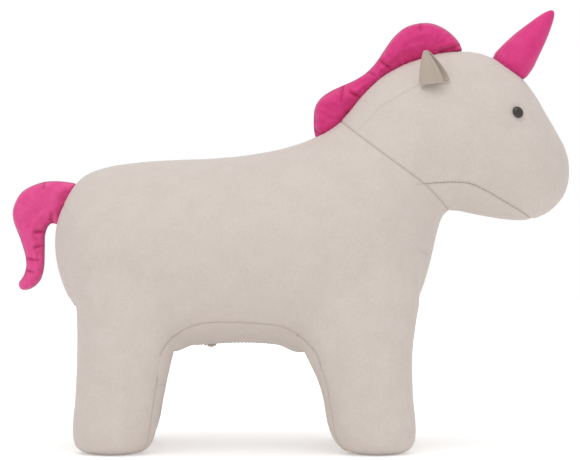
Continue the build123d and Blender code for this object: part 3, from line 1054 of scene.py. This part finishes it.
def makeEyes():
    shank = []
    for k in range(int(eye["shankLength"] / eye["ridgePitch"])):
        foot = -eye["shankLength"] + k * eye["ridgePitch"]
        shank.append((foot, eye["shankRadius"] - eye["ridge"]))
        shank.append((foot + eye["ridgePitch"] * 0.7, eye["shankRadius"]))
    profile = shank + [(-0.0008, eye["shankRadius"])] + eye["dome"]
    for side, sideName in ((1, "Left"), (-1, "Right")):
        x, y, z = eye["centre"]
        a, b, c = eye["outward"]
        button = lathe("eye" + sideName, profile, (x, y * side, z), (a, b * side, c), eye["segments"])
        finishPiece(button, "eyeSatin", "body", ["eye_" + sideName.lower()])
    print("eyes made")


makeEyes()


# ---- ears: cloth folded at the back, open towards the front
ear = {
    "root": (0.200, 0.086, 0.535), "along": (0.97, 0.21, 0.15), "lean": (-0.17, 0.08, 0.98),
    "sections": [
        (-0.009, 0.0186, 0.0135), (0.004, 0.0165, 0.0120), (0.016, 0.0130, 0.0095), (0.027, 0.0085, 0.0065),
        (0.035, 0.0048, 0.0038), (0.0385, 0.0026, 0.0020),
    ],
    "thickness": 0.0016, "around": 48, "spacing": 0.0012,
    "flat": (0.070, 0.054), "area": 0.00215,
}


def earPoint(axes, height, halfLength, halfDepth, w, inset):
    # w runs from the far front edge (-1) round the fold (0) to the near front edge (1)
    along, outward, lean = axes
    share = 1.14 if w < 0 else 1.0
    s = halfLength * (2 * abs(w) ** 1.7 * share - 1) + inset * (1 - abs(w)) - height * 0.05
    t = (halfDepth - inset) * (0.92 * w if w > 0 else 0.75 * w)
    bulge = 0.0012 * math.sin(math.pi * abs(w)) * (1 if w > 0 else -1)
    return along * s + outward * (t + bulge) + lean * height


def earSheet(name, side, inset):
    x, y, z = ear["root"]
    root = Vector((x, y * side, z))
    along = Vector((ear["along"][0], ear["along"][1] * side, ear["along"][2])).normalized()
    lean = Vector((ear["lean"][0], ear["lean"][1] * side, ear["lean"][2])).normalized()
    outward = lean.cross(along).normalized()
    if outward.y * side < 0:
        outward = -outward
    sections = smoothLine(ear["sections"], ear["spacing"])
    if inset > 0:
        sections = sections[:-3]
    bm = bmesh.new()
    grid = []
    for height, halfLength, halfDepth in sections:
        row = []
        for k in range(ear["around"] + 1):
            w = 2 * k / ear["around"] - 1
            point = earPoint((along, outward, lean), height, halfLength, halfDepth, w, inset)
            row.append(bm.verts.new(root + point))
        grid.append(row)
    for lower, upper in zip(grid, grid[1:]):
        for k in range(ear["around"]):
            bm.faces.new((lower[k], lower[k + 1], upper[k + 1], upper[k]))
    bmesh.ops.recalc_face_normals(bm, faces=bm.faces)
    middle = grid[len(grid) // 2][-6]
    middle.normal_update()
    if middle.normal.dot(outward) < 0:
        bmesh.ops.reverse_faces(bm, faces=bm.faces)
    sheet = objectFromBmesh(name, bm)
    modifier = sheet.modifiers.new("cloth", "SOLIDIFY")
    modifier.thickness = ear["thickness"]
    modifier.offset = -1.0
    settle(sheet)
    edge = [(root + earPoint((along, outward, lean), h, a, b, 0.86, inset)) for h, a, b in sections[2:-3]]
    return sheet, root, lean, outward, edge


def makeEars():
    for side, sideName in ((1, "Left"), (-1, "Right")):
        outer, root, lean, outward, edge = earSheet("earOuter" + sideName, side, 0.0)
        lining, *_ = earSheet("earLining" + sideName, side, ear["thickness"] + 0.0001)
        lines = [[p + outward * 0.0001 for p in edge]]
        thread = makeRow("earStitches" + sideName, lines, 0.0032, (0.0022, 0.0007, 0.0006), "threadCotton")
        pieces = [
            (outer, "earClothShaded", "cream_fabric", [f"ear_outer_{sideName.lower()}"]),
            (lining, "earClothShaded", "ear_fabric", [f"ear_lining_{sideName.lower()}"]),
            (thread, "threadCotton", "cream_fabric", []),
        ]
        for piece, finish, slotName, nodes in pieces:
            finishPiece(piece, finish, None, nodes)
            tuple(root - lean * 0.006)
            tuple(root + lean * 0.010)
            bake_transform(piece)
    print("ears made")


makeEars()


# ---- stitches on the body, and the zip
def onBody(line, side, lift=0.0002):
    # a line of the side view, carried onto the body's skin from one side
    hits = [bodySkin.ray_cast(Vector((x, side * 0.3, z)), Vector((0, -side, 0)))[0] for x, z in line]
    return [h + Vector((0, side * lift, 0)) for h in hits if h is not None and abs(h.y) > 0.02]


def underBody(points, lift=0.0002):
    hits = [bodySkin.ray_cast(Vector((x, y, 0.02)), Vector((0, 0, 1)))[0] for x, y in points]
    return [h - Vector((0, 0, lift)) for h in hits if h is not None]


def makeBodyStitches():
    line = smoothLine(seams["chin"], 0.003)
    chin = [onBody(line, side) for side in (1, -1)]
    span = np.arange(zipForm["rear"] - 0.006, zipForm["front"] + 0.006, 0.004)
    belly = [underBody([(x, side * zipForm["stitchRow"]) for x in span]) for side in (1, -1)]
    rows = makeRow("bodyStitches", chin + belly, 0.0052, (0.0034, 0.0009, 0.0007), "threadCotton")
    finishPiece(rows, "threadCotton", "body")


def makeZipTeeth():
    low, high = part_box("zip_coil")
    centreX = (low[0] + high[0]) / 2
    radius, top = zipForm["archRadius"], zipForm["archTop"]
    reach = (high[0] - low[0]) / 2
    lines = []
    for side in (1, -1):
        xs = np.linspace(-reach, reach, 40)
        zs = top - radius + np.sqrt(radius**2 - xs**2)
        lines.append([Vector((centreX + x, side * 0.0012, z + 0.0002)) for x, z in zip(xs, zs)])
    teeth = makeRow("zipCoil", lines, 0.0016, (0.0011, 0.0030, 0.0022), "coilNylon")
    finishPiece(teeth, "coilNylon", "body", ["zip_coil"])


def paintCadPieces():
    # CAD pieces that stay in sight take a finish chosen by a word in their node's name, in every material slot
    finishOf = {"washer": "washerNylon", "tape": "tapeWeave", "stop": "coilNylon", "slider": "coilNylon"}
    for node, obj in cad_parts.items():
        if obj.hide_render:
            continue
        finish = finishes[next(value for key, value in finishOf.items() if key in node)]
        for materialSlot in obj.material_slots:
            materialSlot.material = finish


makeBodyStitches()
makeZipTeeth()
paintCadPieces()
print("stitches and zip made")


# ---- floor
floorForm = {
    "radius": 3.2, "edges": 96, "glow": 0.30, "farGlow": 0.9, "bounce": 0.12, "fadeFrom": 1.0, "fadeTo": 2.6,
}


def makeFloor():
    bm = bmesh.new()
    bmesh.ops.create_circle(bm, cap_ends=True, radius=floorForm["radius"], segments=floorForm["edges"])
    floor = objectFromBmesh("floor", bm)
    paint = Graph("floorPaint")
    length = paint.node("ShaderNodeVectorMath", {"operation": "LENGTH"}, {0: paint.place()})
    away = Signal(paint, length.outputs["Value"])
    near, far = (shadeOfGrey(floorForm[key]) for key in ("glow", "farGlow"))
    glow = paint.blend(away.within(floorForm["fadeFrom"], floorForm["fadeTo"]), near, far)
    seen = Signal(paint, paint.node("ShaderNodeLightPath").outputs["Is Camera Ray"])
    glow = paint.blend(seen, shadeOfGrey(floorForm["bounce"]), glow)
    white = shadeOfGrey(0.93)
    paint.finish(Base_Color=white, Roughness=0.9, Emission_Color=glow, Emission_Strength=1.0)
    floor.data.materials.append(paint.material)


makeFloor()
